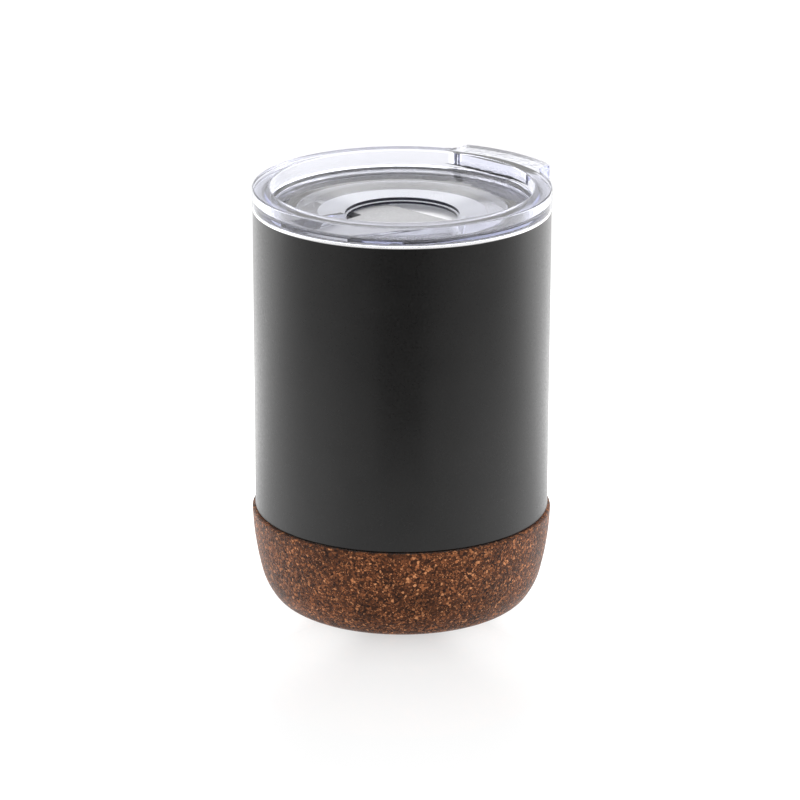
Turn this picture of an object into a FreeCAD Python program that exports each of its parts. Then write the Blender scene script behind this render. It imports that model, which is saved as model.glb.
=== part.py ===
"""Double-wall steel travel cup with a cork base and a clear push-on lid with a slide closure.

Millimetres, +Z up. The origin is on the cup's axis, in the plane that the cup stands on.
The lid's lift tab points to +Y, and its drinking slot is on the -Y side.
"""

import FreeCAD
import Part

import math
import os
import re

import Sketcher

doc = FreeCAD.newDocument("TravelCup")

# ---------------------------------------------------------------- driving dimensions

SIZES = [
    # steel cup
    ("shell_radius", 36.5, "outside of the steel wall"),
    ("wall", 0.5, "steel thickness"),
    ("lip_height", 101.5, "top of the steel lip"),
    ("lip_radius", 35.2, "circle where shell and liner are welded"),
    ("lip_round", 0.6, "rounds of the lip"),
    ("mouth_radius", 33.9, "inside of the liner at the mouth"),
    ("mouth_depth", 9.5, "straight mouth that takes the lid's plug"),
    ("liner_radius", 32.6, "inside of the liner below the mouth"),
    ("liner_taper", 4.0, "height of the taper under the mouth"),
    ("liner_floor", 10.5, "inside floor of the liner"),
    ("liner_round", 9.0, "corner of the liner's floor"),
    ("foot_radius", 34.6, "outside of the steel foot inside the cork"),
    ("foot_top", 24.15, "underside of the step from wall to foot"),
    ("foot_bottom", 5.0, "lowest steel"),
    ("foot_round", 9.0, "corner of the steel foot"),
    ("foot_hole", 25.2, "opening of the foot, closed by the bottom disc"),
    # bottom disc, evacuation seal and getter
    ("dome_radius", 20.0, "foot of the disc's dome"),
    ("dome_slope", 3.0, "width of the dome's sloping side"),
    ("dome_rise", 1.6, "height of the dome"),
    ("dimple_radius", 4.0, "evacuation dimple"),
    ("dimple_depth", 1.0, "evacuation dimple"),
    ("vent_radius", 0.8, "evacuation hole"),
    ("bead_radius", 3.8, "glass bead in the dimple"),
    ("bead_height", 0.6, "glass bead in the dimple"),
    ("getter_radius", 4.2, "getter pellet"),
    ("getter_height", 1.0, "getter pellet"),
    ("getter_offset", 9.8, "getter from the axis"),
    ("clip_gauge", 0.3, "getter clip sheet"),
    ("clip_width", 3.0, "getter clip"),
    ("clip_inner", 4.5, "half span between the clip's legs"),
    ("clip_outer", 6.5, "half length over the clip's feet"),
    # cork base
    ("cork_height", 24.0, "top edge of the cork"),
    ("cork_radius", 37.25, "outside of the cork at its top edge"),
    ("cork_edge", 0.45, "round of the cork's top edge"),
    ("cork_waist", 35.0, "outside where the side turns in"),
    ("cork_waist_height", 8.0, "height of that circle"),
    ("cork_low", 32.1, "outside at the top of the bottom corner"),
    ("cork_low_height", 2.0, "height of that circle"),
    ("cork_foot", 28.4, "flat that the cup stands on"),
    ("cork_side_arc", 74.0, "arc of the upper side"),
    ("cork_turn_arc", 16.6, "arc of the lower side"),
    ("cork_corner_arc", 5.4, "arc of the bottom corner"),
    ("glue", 0.15, "adhesive layer"),
    # lid
    ("rim_radius", 36.65, "outside of the lid's rim"),
    ("rim_bottom", 101.55, "underside of the rim"),
    ("rim_outer_top", 106.25, "outer edge of the rim's top"),
    ("rim_inner_top", 106.35, "inner edge of the rim's top"),
    ("rim_round", 0.35, "softened edges of the rim"),
    ("recess_radius", 32.3, "inner wall of the rim"),
    ("recess_floor", 101.7, "floor at the recess wall"),
    ("recess_round", 1.3, "hollow corner between the recess wall and the floor"),
    ("bowl_radius", 27.8, "where the flat border of the floor ends and its hollow starts"),
    ("bowl_top", 101.5, "height of that circle"),
    ("well_radius", 14.0, "finger well"),
    ("well_top", 99.3, "inner edge of the dished floor"),
    ("ledge_height", 98.4, "ledge in the well's wall"),
    ("ledge_width", 0.45, "ledge in the well's wall"),
    ("ceiling", 97.65, "underside of the floor over the slider"),
    ("ceiling_radius", 21.0, "flat part of the underside"),
    ("ceiling_edge", 99.0, "underside of the floor at the skirt"),
    ("neck_radius", 33.4, "skirt above the gasket groove"),
    ("skirt_radius", 33.0, "outside of the plug skirt"),
    ("skirt_inner", 30.2, "inside of the plug skirt"),
    ("skirt_bottom", 93.2, "lower end of the plug skirt"),
    ("groove_radius", 31.7, "bottom of the gasket groove"),
    ("groove_low", 94.6, "lower side of the gasket groove"),
    ("groove_high", 98.4, "upper side of the gasket groove"),
    ("tab_radius", 41.5, "outer edge of the lift tab"),
    ("tab_root", 34.5, "where the tab starts inside the rim"),
    ("tab_angle", 20.3, "degrees from the tab's middle to its sides"),
    ("tab_bottom", 102.6, "underside of the lift tab"),
    ("tab_round", 1.2, "corners of the lift tab"),
    ("tab_blend", 3.6, "hollow rounds where the lift tab meets the rim"),
    ("channel_half", 9.4, "half width of the channel over the tongue"),
    ("channel_end", 29.2, "front end of the channel, from the axis"),
    ("pocket_radius", 26.3, "inside of the round wall about the slider's pocket"),
    ("pocket_root", 98.4, "underside of the floor at that wall"),
    ("pocket_wall", 1.4, "thickness of the round wall and the guide rails"),
    ("guide_half", 10.45, "from the middle to the rails beside the slider's tongue"),
    ("guide_front", 27.0, "front end of the rails"),
    ("guide_back", 9.6, "back end of the rails, forward of the middle"),
    # underplate
    ("plate_top", 96.0, "top of the underplate"),
    ("plate_gauge", 1.2, "thickness of the underplate"),
    ("slot_half", 7.0, "half width of the drinking slot"),
    ("slot_back", 20.5, "back edge of the drinking slot"),
    ("slot_front", 27.8, "front end of the drinking slot, from the axis"),
    ("air_radius", 1.25, "air hole"),
    ("air_offset", 3.0, "air hole behind the axis"),
    # gasket
    ("gasket_play", 0.05, "gasket in its groove"),
    ("gasket_radius", 32.75, "outside of the ring between its fins"),
    ("fin_radius", 33.85, "tips of the fins"),
    ("fin_low", 95.6, "middle of the lower fin"),
    ("fin_high", 97.6, "middle of the upper fin"),
    ("fin_root", 0.45, "half thickness of a fin at its root"),
    ("fin_tip", 0.15, "half thickness of a fin at its tip"),
    # slider
    ("slider_bottom", 96.15, "underside of the slider"),
    ("slider_top", 97.5, "top of the slider"),
    ("bar_half", 16.85, "half length of the crossbar"),
    ("bar_back", 7.75, "back edge of the crossbar"),
    ("bar_front", 3.45, "front edge of the crossbar"),
    ("corner_round", 1.5, "corners of the slider and of the drinking slot"),
    ("tongue_half", 10.2, "half width of the tongue"),
    ("tongue_end", 29.4, "front end of the tongue, from the axis"),
    ("dish_radius", 6.0, "thumb dish"),
    ("dish_depth", 0.35, "thumb dish"),
    ("seal_half", 8.4, "half width of the seal pad"),
    ("seal_back", 18.8, "back edge of the seal pad"),
    ("seal_front", 28.6, "front end of the seal pad, from the axis"),
    ("seal_depth", 0.6, "recess for the seal pad"),
    ("seal_proud", 0.1, "how far the pad stands below the slider"),
]

sheet = doc.addObject("Spreadsheet::Sheet", "Sizes")
for row, (alias, number, note) in enumerate(SIZES, start=1):
    sheet.set(f"A{row}", alias)
    sheet.set(f"B{row}", str(number))
    sheet.set(f"C{row}", note)
    sheet.setAlias(f"B{row}", alias)
doc.recompute()

DIMENSION = re.compile(r"\b(?!sin\b|cos\b|sqrt\b)[a-z][a-z_]+\b")
SAME = 1e-3
parts = []

# ---------------------------------------------------------------- shared helpers


def bound(expression):
    """The expression with the sheet's name in front of every dimension."""
    return DIMENSION.sub(r"Sizes.\g<0>", expression)


def value(expression):
    """What the expression comes to, in millimetres or degrees."""
    return float(sheet.evalExpression(expression))


def new_part(label):
    """An empty PartDesign body that becomes one node."""
    body = doc.addObject("PartDesign::Body", label)
    body.Label = label
    parts.append(body)
    return body


def new_sketch(body, name, role="XY_Plane", height="0"):
    """A sketch on one of the body's own origin planes, raised along its normal to a height."""
    sketch = body.newObject("Sketcher::SketchObject", name)
    plane = next(item for item in body.Origin.OriginFeatures if item.Role == role)
    sketch.AttachmentSupport = (plane, "")
    sketch.MapMode = "FlatFace"
    if height != "0":
        sketch.setExpression(".AttachmentOffset.Base.z", bound(height))
    return sketch


def constrain(sketch, kind, *places, size):
    """Adds a dimension to the sketch and binds it to the sheet."""
    index = sketch.addConstraint(Sketcher.Constraint(kind, *places, value(size)))
    sketch.setExpression(f"Constraints[{index}]", bound(size))


def arc_edge(start, end, radius, turn):
    """The shorter arc from start to end. It turns left where turn is 1 and right where it is -1."""
    chord = end - start
    sagitta_leg = math.sqrt(max(radius ** 2 - chord.Length ** 2 / 4, 0))
    left = FreeCAD.Vector(-chord.y, chord.x, 0).normalize()
    centre = (start + end) / 2 + left * sagitta_leg * turn
    first, last = (start, end) if turn > 0 else (end, start)
    angles = [math.atan2(point.y - centre.y, point.x - centre.x) for point in (first, last)]
    circle = Part.Circle(centre, FreeCAD.Vector(0, 0, 1), radius)
    return Part.ArcOfCircle(circle, angles[0], angles[1])


def add_outline(sketch, corners):
    """Draws one closed outline whose corners and arcs are all bound to the sheet.

    A corner is (across, up), or (across, up, radius, turn) where an arc leads to it.
    """
    points = [FreeCAD.Vector(value(corner[0]), value(corner[1]), 0) for corner in corners]
    ends = []
    for place, corner in enumerate(corners):
        start = points[place - 1]
        end = points[place]
        if len(corner) == 4:
            radius, turn = corner[2:]
            edge = sketch.addGeometry(arc_edge(start, end, value(radius), turn), False)
            ends.append((edge, 1, 2) if turn > 0 else (edge, 2, 1))
        else:
            edge = sketch.addGeometry(Part.LineSegment(start, end), False)
            ends.append((edge, 1, 2))
    for place, corner in enumerate(corners):
        edge, _, tail = ends[place]
        next_edge, next_head, _ = ends[(place + 1) % len(corners)]
        sketch.addConstraint(Sketcher.Constraint("Coincident", edge, tail, next_edge, next_head))
        for kind, axis, size in (("DistanceX", -2, corner[0]), ("DistanceY", -1, corner[1])):
            if size == "0":
                sketch.addConstraint(Sketcher.Constraint("PointOnObject", edge, tail, axis))
            else:
                constrain(sketch, kind, edge, tail, size=size)
        if len(corner) == 4:
            constrain(sketch, "Radius", edge, size=corner[2])


def revolve(body, corners, kind="Revolution"):
    """Turns an outline in the XZ plane about Z, to add a solid or, as a Groove, to cut one."""
    sketch = new_sketch(body, f"{body.Label}_{kind}_outline", role="XZ_Plane")
    add_outline(sketch, corners)
    feature = body.newObject(f"PartDesign::{kind}", f"{body.Label}_{kind}")
    feature.Profile = sketch
    feature.ReferenceAxis = (sketch, ["V_Axis"])
    feature.Angle = 360
    sketch.Visibility = False
    doc.recompute()
    return feature


def extrude(body, name, corners, height, length, kind="Pad", up=True):
    """Pads or pockets a plan outline that lies at a height, by a length up or down."""
    sketch = new_sketch(body, f"{name}_outline", height=height)
    add_outline(sketch, corners)
    before = body.Shape.Volume if body.Tip else 0
    feature = body.newObject(f"PartDesign::{kind}", name)
    feature.Profile = sketch
    feature.setExpression("Length", bound(length))
    feature.Reversed = up if kind == "Pocket" else not up
    sketch.Visibility = False
    doc.recompute()
    grows = body.Shape.Volume > before
    if grows != (kind == "Pad"):
        raise RuntimeError(f"{name} points away from the solid")
    return feature


def drill(body, name, centre, radius, height, length):
    """Pockets a round hole downwards from a height."""
    sketch = new_sketch(body, f"{name}_outline", height=height)
    middle = FreeCAD.Vector(value(centre[0]), value(centre[1]), 0)
    hole = sketch.addGeometry(Part.Circle(middle, FreeCAD.Vector(0, 0, 1), value(radius)), False)
    constrain(sketch, "Radius", hole, size=radius)
    for kind, axis, size in (("DistanceX", -2, centre[0]), ("DistanceY", -1, centre[1])):
        if size == "0":
            sketch.addConstraint(Sketcher.Constraint("PointOnObject", hole, 3, axis))
        else:
            constrain(sketch, kind, hole, 3, size=size)
    before = body.Shape.Volume
    feature = body.newObject("PartDesign::Pocket", name)
    feature.Profile = sketch
    feature.setExpression("Length", bound(length))
    sketch.Visibility = False
    doc.recompute()
    if body.Shape.Volume >= before:
        raise RuntimeError(f"{name} cuts nothing")


def fillet(body, name, radius, wanted):
    """Rounds every edge of the body's tip that the test accepts."""
    tip = body.Tip
    names = [f"Edge{place}" for place, edge in enumerate(tip.Shape.Edges, start=1) if wanted(edge)]
    if not names:
        raise RuntimeError(f"{name} found no edges")
    feature = body.newObject("PartDesign::Fillet", name)
    feature.Base = (tip, names)
    feature.setExpression("Radius", bound(radius))
    doc.recompute()
    return feature


def is_circle(edge, radius, height):
    """Whether an edge is a circle about Z of this radius at this height."""
    if not isinstance(edge.Curve, Part.Circle):
        return False
    centre = edge.Curve.Center
    centred = math.hypot(centre.x, centre.y) < SAME and abs(centre.z - value(height)) < SAME
    return centred and abs(edge.Curve.Radius - value(radius)) < SAME


def is_upright(edge, distances):
    """Whether an edge is a vertical line at one of these distances from the axis."""
    if not isinstance(edge.Curve, Part.Line):
        return False
    ends = [vertex.Point for vertex in edge.Vertexes]
    if math.hypot(ends[0].x - ends[1].x, ends[0].y - ends[1].y) > SAME:
        return False
    distance = math.hypot(ends[0].x, ends[0].y)
    return any(abs(distance - wanted) < SAME for wanted in distances)


def front_of(half, reach):
    """How far forward a circle of this reach about the axis is at this half width."""
    return f"-sqrt({reach} * {reach} - {half} * {half})"


# ---------------------------------------------------------------- steel cup


def make_outer_shell():
    """Drawn outer wall with a rolled lip, stepped in to a foot that the cork covers."""
    body = new_part("outer_shell")
    revolve(body, [
        ("lip_radius", "lip_height"),
        ("lip_radius", "lip_height - lip_round"),
        ("shell_radius - wall", "lip_height - lip_round"),
        ("shell_radius - wall", "foot_top + wall"),
        ("foot_radius - wall", "foot_top + wall"),
        ("foot_radius - wall", "foot_bottom + foot_round"),
        ("foot_radius - foot_round", "foot_bottom + wall", "foot_round - wall", -1),
        ("foot_hole", "foot_bottom + wall"),
        ("foot_hole", "foot_bottom"),
        ("foot_radius - foot_round", "foot_bottom"),
        ("foot_radius", "foot_bottom + foot_round", "foot_round", 1),
        ("foot_radius", "foot_top"),
        ("shell_radius - lip_round", "foot_top"),
        ("shell_radius", "foot_top + lip_round", "lip_round", 1),
        ("shell_radius", "lip_height - lip_round"),
        ("shell_radius - lip_round", "lip_height", "lip_round", 1),
    ])


def make_inner_liner():
    """Drawn inner cup, flared at the mouth and welded to the shell along the lip."""
    mouth_end = "lip_height - mouth_depth"
    taper_end = "lip_height - mouth_depth - liner_taper"
    body = new_part("inner_liner")
    revolve(body, [
        ("lip_radius", "lip_height"),
        ("mouth_radius + lip_round", "lip_height"),
        ("mouth_radius", "lip_height - lip_round", "lip_round", 1),
        ("mouth_radius", mouth_end),
        ("liner_radius", taper_end),
        ("liner_radius", "liner_floor + liner_round"),
        ("liner_radius - liner_round", "liner_floor", "liner_round", -1),
        ("0", "liner_floor"),
        ("0", "liner_floor - wall"),
        ("liner_radius - liner_round", "liner_floor - wall"),
        ("liner_radius + wall", "liner_floor + liner_round", "liner_round + wall", 1),
        ("liner_radius + wall", taper_end),
        ("mouth_radius + wall", mouth_end),
        ("mouth_radius + wall", "lip_height - 3 * lip_round"),
        ("lip_radius", "lip_height - lip_round"),
    ])


def make_outer_bottom():
    """Domed disc that closes the foot, with the dimple and hole used to draw the vacuum."""
    dome = "foot_bottom + dome_rise"
    body = new_part("outer_bottom")
    revolve(body, [
        ("foot_hole", "foot_bottom"),
        ("foot_hole", "foot_bottom + wall"),
        ("dome_radius", "foot_bottom + wall"),
        ("dome_radius - dome_slope", f"{dome} + wall"),
        ("dimple_radius + wall", f"{dome} + wall"),
        ("dimple_radius + wall", f"{dome} + dimple_depth + wall"),
        ("vent_radius", f"{dome} + dimple_depth + wall"),
        ("vent_radius", f"{dome} + dimple_depth"),
        ("dimple_radius", f"{dome} + dimple_depth"),
        ("dimple_radius", dome),
        ("dome_radius - dome_slope", dome),
        ("dome_radius", "foot_bottom"),
    ])


def make_seal_bead():
    """Glass bead melted into the dimple over the evacuation hole."""
    top = "foot_bottom + dome_rise + dimple_depth"
    body = new_part("seal_bead")
    revolve(body, [
        ("0", top),
        ("0", f"{top} - bead_height"),
        ("bead_radius", f"{top} - bead_height"),
        ("bead_radius", top),
    ])


def make_getter():
    """Pressed pellet on the bottom disc that takes up gas left in the vacuum."""
    pellet = doc.addObject("Part::Cylinder", "getter")
    pellet.Label = "getter"
    pellet.setExpression("Radius", bound("getter_radius"))
    pellet.setExpression("Height", bound("getter_height"))
    pellet.setExpression(".Placement.Base.x", bound("getter_offset"))
    pellet.setExpression(".Placement.Base.z", bound("foot_bottom + dome_rise + wall"))
    parts.append(pellet)


def make_getter_clip():
    """Hat-shaped strap over the pellet, spot-welded to the disc by its feet."""
    base = "foot_bottom + dome_rise + wall"
    roof = f"{base} + getter_height"
    body = new_part("getter_clip")
    sketch = new_sketch(body, "getter_clip_outline", "YZ_Plane", "getter_offset - clip_width / 2")
    add_outline(sketch, [
        ("-clip_outer", base),
        ("-clip_inner", base),
        ("-clip_inner", roof),
        ("clip_inner", roof),
        ("clip_inner", base),
        ("clip_outer", base),
        ("clip_outer", f"{base} + clip_gauge"),
        ("clip_inner + clip_gauge", f"{base} + clip_gauge"),
        ("clip_inner + clip_gauge", f"{roof} + clip_gauge"),
        ("-clip_inner - clip_gauge", f"{roof} + clip_gauge"),
        ("-clip_inner - clip_gauge", f"{base} + clip_gauge"),
        ("-clip_outer", f"{base} + clip_gauge"),
    ])
    pad = body.newObject("PartDesign::Pad", "getter_clip_pad")
    pad.Profile = sketch
    pad.setExpression("Length", bound("clip_width"))
    sketch.Visibility = False
    doc.recompute()


# ---------------------------------------------------------------- cork base


def make_cork_base():
    """Moulded boot: a side that curves in to a flat foot, hollow for the steel foot."""
    body = new_part("cork_base")
    revolve(body, [
        ("0", "0"),
        ("cork_foot", "0"),
        ("cork_low", "cork_low_height", "cork_corner_arc", 1),
        ("cork_waist", "cork_waist_height", "cork_turn_arc", 1),
        ("cork_radius", "cork_height - cork_edge", "cork_side_arc", 1),
        ("cork_radius - cork_edge", "cork_height", "cork_edge", 1),
        ("foot_radius + glue", "cork_height"),
        ("foot_radius + glue", "foot_bottom + foot_round"),
        ("foot_radius - foot_round", "foot_bottom - glue", "foot_round + glue", -1),
        ("0", "foot_bottom - glue"),
    ])


def make_base_adhesive():
    """Adhesive layer that bonds the cork to the steel foot, up to the dome."""
    body = new_part("base_adhesive")
    revolve(body, [
        ("dome_radius", "foot_bottom - glue"),
        ("foot_radius - foot_round", "foot_bottom - glue"),
        ("foot_radius + glue", "foot_bottom + foot_round", "foot_round + glue", 1),
        ("foot_radius + glue", "cork_height"),
        ("foot_radius", "cork_height"),
        ("foot_radius", "foot_bottom + foot_round"),
        ("foot_radius - foot_round", "foot_bottom", "foot_round", -1),
        ("dome_radius", "foot_bottom"),
    ])


# ---------------------------------------------------------------- lid


def make_lid_body():
    """Clear moulding: rim, dished floor with a keyhole opening, plug skirt and lift tab."""
    body = new_part("lid_body")
    revolve(body, [
        ("neck_radius", "rim_bottom"),
        ("rim_radius", "rim_bottom"),
        ("rim_radius", "rim_outer_top"),
        ("recess_radius", "rim_inner_top"),
        ("recess_radius", "recess_floor"),
        ("bowl_radius", "bowl_top"),
        ("well_radius", "well_top"),
        ("well_radius", "ledge_height"),
        ("well_radius - ledge_width", "ledge_height"),
        ("well_radius - ledge_width", "ceiling"),
        ("ceiling_radius", "ceiling"),
        ("pocket_radius", "pocket_root"),
        ("pocket_radius", "plate_top"),
        ("pocket_radius + pocket_wall", "plate_top"),
        ("pocket_radius + pocket_wall", "pocket_root"),
        ("skirt_inner", "ceiling_edge"),
        ("skirt_inner", "skirt_bottom"),
        ("skirt_radius", "skirt_bottom"),
        ("skirt_radius", "groove_low"),
        ("groove_radius", "groove_low"),
        ("groove_radius", "groove_high"),
        ("neck_radius", "groove_high"),
    ])
    side = "sin(tab_angle)"
    reach = "cos(tab_angle)"
    extrude(body, "lift_tab", [
        (f"-tab_root * {side}", f"tab_root * {reach}"),
        (f"tab_root * {side}", f"tab_root * {reach}", "tab_root", -1),
        (f"tab_radius * {side}", f"tab_radius * {reach}"),
        (f"-tab_radius * {side}", f"tab_radius * {reach}", "tab_radius", 1),
    ], "tab_bottom", "rim_outer_top - tab_bottom")
    fillet(body, "tab_corners", "tab_round",
           lambda edge: is_upright(edge, [value("tab_radius")]))
    fillet(body, "tab_roots", "tab_blend",
           lambda edge: is_upright(edge, [value("rim_radius")]))
    channel_corner = front_of("channel_half", "channel_end")
    extrude(body, "channel", [
        ("-channel_half", channel_corner),
        ("channel_half", channel_corner, "channel_end", 1),
        ("channel_half", "0"),
        ("-channel_half", "0"),
    ], "recess_floor", "recess_floor - plate_top", kind="Pocket", up=False)
    fillet(body, "rim_edges", "rim_round", lambda edge: (
        is_circle(edge, "rim_radius", "rim_bottom")
        or is_circle(edge, "recess_radius", "rim_inner_top")))
    fillet(body, "recess_corner", "recess_round",
           lambda edge: is_circle(edge, "recess_radius", "recess_floor"))
    extrude(body, "tongue_gate", [
        ("-guide_half", "-pocket_radius - 2 * pocket_wall"),
        ("guide_half", "-pocket_radius - 2 * pocket_wall"),
        ("guide_half", "-guide_back"),
        ("-guide_half", "-guide_back"),
    ], "ceiling", "ceiling - plate_top", kind="Pocket", up=False)
    for name, inner, outer in (
            ("left_rail", "-guide_half", "-guide_half - pocket_wall"),
            ("right_rail", "guide_half", "guide_half + pocket_wall")):
        extrude(body, name, [
            (inner, "-guide_front"),
            (outer, "-guide_front"),
            (outer, "-guide_back"),
            (inner, "-guide_back"),
        ], "plate_top", "ceiling_edge - plate_top")


def make_lid_underplate():
    """Clear disc welded inside the skirt: the pocket's floor, with drinking slot and air hole."""
    body = new_part("lid_underplate")
    revolve(body, [
        ("0", "plate_top"),
        ("0", "plate_top - plate_gauge"),
        ("skirt_inner", "plate_top - plate_gauge"),
        ("skirt_inner", "plate_top"),
    ])
    slot_corner = front_of("slot_half", "slot_front")
    extrude(body, "drinking_slot", [
        ("-slot_half", slot_corner),
        ("slot_half", slot_corner, "slot_front", 1),
        ("slot_half", "-slot_back"),
        ("-slot_half", "-slot_back"),
    ], "plate_top", "plate_gauge", kind="Pocket", up=False)
    corners = [math.hypot(value("slot_half"), value("slot_back")), value("slot_front")]
    fillet(body, "slot_corners", "corner_round", lambda edge: is_upright(edge, corners))
    drill(body, "air_hole", ("0", "air_offset"), "air_radius", "plate_top", "plate_gauge")


def make_lid_gasket():
    """Silicone ring in the skirt's groove, with two fins that grip the liner."""
    corners = [
        ("gasket_radius", "groove_high - gasket_play"),
        ("groove_radius + gasket_play", "groove_high - gasket_play"),
        ("groove_radius + gasket_play", "groove_low + gasket_play"),
        ("gasket_radius", "groove_low + gasket_play"),
    ]
    for middle in ("fin_low", "fin_high"):
        corners += [
            ("gasket_radius", f"{middle} - fin_root"),
            ("fin_radius", f"{middle} - fin_tip"),
            ("fin_radius", f"{middle} + fin_tip"),
            ("gasket_radius", f"{middle} + fin_root"),
        ]
    body = new_part("lid_gasket")
    revolve(body, corners)


# ---------------------------------------------------------------- slider


def make_slider():
    """T-shaped plate: a crossbar held under the floor, and a tongue over the drinking slot."""
    body = new_part("slider")
    tongue_corner = front_of("tongue_half", "tongue_end")
    extrude(body, "slider_plate", [
        ("-tongue_half", tongue_corner),
        ("tongue_half", tongue_corner, "tongue_end", 1),
        ("tongue_half", "-bar_front"),
        ("bar_half", "-bar_front"),
        ("bar_half", "bar_back"),
        ("-bar_half", "bar_back"),
        ("-bar_half", "-bar_front"),
        ("-tongue_half", "-bar_front"),
    ], "slider_bottom", "slider_top - slider_bottom")
    corners = [math.hypot(value("bar_half"), value(edge)) for edge in ("bar_front", "bar_back")]
    corners.append(value("tongue_end"))
    fillet(body, "slider_corners", "corner_round", lambda edge: is_upright(edge, corners))
    seal_corner = front_of("seal_half", "seal_front")
    extrude(body, "seal_recess", [
        ("-seal_half", seal_corner),
        ("seal_half", seal_corner, "seal_front", 1),
        ("seal_half", "-seal_back"),
        ("-seal_half", "-seal_back"),
    ], "slider_bottom", "seal_depth", kind="Pocket", up=True)
    revolve(body, [
        ("0", "slider_top - dish_depth"),
        ("dish_radius", "slider_top",
         "(dish_radius * dish_radius + dish_depth * dish_depth) / (2 * dish_depth)", 1),
        ("dish_radius", "slider_top + dish_depth"),
        ("0", "slider_top + dish_depth"),
    ], kind="Groove")


def make_slider_seal():
    """Silicone pad inlaid under the tongue, which closes the drinking slot."""
    body = new_part("slider_seal")
    seal_corner = front_of("seal_half", "seal_front")
    extrude(body, "seal_pad", [
        ("-seal_half", seal_corner),
        ("seal_half", seal_corner, "seal_front", 1),
        ("seal_half", "-seal_back"),
        ("-seal_half", "-seal_back"),
    ], "slider_bottom - seal_proud", "seal_depth + seal_proud")


# ---------------------------------------------------------------- build, test and export

make_outer_shell()
make_inner_liner()
make_outer_bottom()
make_seal_bead()
make_getter()
make_getter_clip()
make_cork_base()
make_base_adhesive()
make_lid_body()
make_lid_underplate()
make_lid_gasket()
make_slider()
make_slider_seal()
doc.recompute()

for item in doc.Objects:
    if "Invalid" in item.State or "Error" in item.State:
        raise RuntimeError(f"{item.Name} failed: {item.State}")
for part in parts:
    shape = part.Shape
    if shape.isNull() or not shape.isValid() or len(shape.Solids) != 1:
        raise RuntimeError(f"{part.Label} is not one valid solid")

os.makedirs("parts", exist_ok=True)
for part in parts:
    part.Shape.exportStep(f"parts/{part.Label}.step")
    print(f"{part.Label}: {part.Shape.Volume:.1f} mm3")
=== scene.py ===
"""Looks of a double-wall travel cup: black coated steel, cork base, clear lid with a grey slide closure.

Blender works in metres, and this script gives the cup's own sizes in millimetres.
"""

import math

import bmesh
import bpy
from mathutils import Matrix, Vector, noise


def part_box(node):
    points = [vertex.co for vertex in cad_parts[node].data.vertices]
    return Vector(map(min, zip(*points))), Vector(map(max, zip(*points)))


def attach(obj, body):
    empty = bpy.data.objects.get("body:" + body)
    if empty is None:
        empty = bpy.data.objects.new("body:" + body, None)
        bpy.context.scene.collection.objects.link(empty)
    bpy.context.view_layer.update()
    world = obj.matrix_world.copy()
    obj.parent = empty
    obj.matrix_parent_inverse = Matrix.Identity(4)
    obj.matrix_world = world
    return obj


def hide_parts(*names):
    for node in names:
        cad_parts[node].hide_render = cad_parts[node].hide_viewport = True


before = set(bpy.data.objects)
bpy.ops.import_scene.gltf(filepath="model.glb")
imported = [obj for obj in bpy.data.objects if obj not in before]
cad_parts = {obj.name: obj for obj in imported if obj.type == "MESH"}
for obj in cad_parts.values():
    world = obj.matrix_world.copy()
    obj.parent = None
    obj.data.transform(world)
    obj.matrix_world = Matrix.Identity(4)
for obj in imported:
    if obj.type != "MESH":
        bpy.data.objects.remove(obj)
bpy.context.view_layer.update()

MM = 0.001
AROUND = 256
ROUND_STEPS = 6
BEVEL_ANGLE = 40

# ---------------------------------------------------------------- sizes read from the frame


def reach(node):
    """A round node's outer radius, lowest and highest point, in millimetres."""
    low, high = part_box(node)
    return high.x / MM, low.z / MM, high.z / MM


SHELL_RADIUS, SHELL_LOW, LIP_TOP = reach("outer_shell")
LINER_FLARE, LINER_LOW, _ = reach("inner_liner")
CORK_RADIUS, CORK_LOW, CORK_TOP = reach("cork_base")
RIM_RADIUS, SKIRT_LOW, RIM_TOP = reach("lid_body")
TAB_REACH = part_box("lid_body")[1].y / MM
PLATE_RADIUS, PLATE_LOW, PLATE_TOP = reach("lid_underplate")
FIN_RADIUS, GASKET_LOW, GASKET_TOP = reach("lid_gasket")
SLIDER_LOW_CORNER, SLIDER_HIGH_CORNER = (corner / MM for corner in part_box("slider"))
PAD_LOW_CORNER, PAD_HIGH_CORNER = (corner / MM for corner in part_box("slider_seal"))

# ---------------------------------------------------------------- outlines


def corner_arc(before, corner, after, radius, steps):
    """The points of an arc that rounds one corner of an outline."""
    to_before = (Vector(before) - Vector(corner)).normalized()
    to_after = (Vector(after) - Vector(corner)).normalized()
    half = to_before.angle(to_after) / 2
    inset = radius / math.tan(half)
    centre = Vector(corner) + (to_before + to_after).normalized() * radius / math.sin(half)
    start = Vector(corner) + to_before * inset - centre
    end = Vector(corner) + to_after * inset - centre
    turn = start.angle_signed(end)
    points = []
    for step in range(steps + 1):
        spin = Matrix.Rotation(-turn * step / steps, 2)
        points.append(tuple(centre + spin @ start))
    return points


def soften(corners, steps=ROUND_STEPS):
    """A closed outline whose corners (across, up, radius) are rounded where they give a radius."""
    points = []
    for index, corner in enumerate(corners):
        if len(corner) == 2 or corner[2] == 0:
            points.append(corner[:2])
            continue
        before = corners[index - 1][:2]
        after = corners[(index + 1) % len(corners)][:2]
        points += corner_arc(before, corner[:2], after, corner[2], steps)
    return points


def sweep(centre, radius, first, last, steps):
    """Points on an arc, from one angle in degrees to another."""
    points = []
    for step in range(steps + 1):
        angle = math.radians(first + (last - first) * step / steps)
        points.append((centre[0] + radius * math.cos(angle), centre[1] + radius * math.sin(angle)))
    return points


# ---------------------------------------------------------------- meshes


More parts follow.
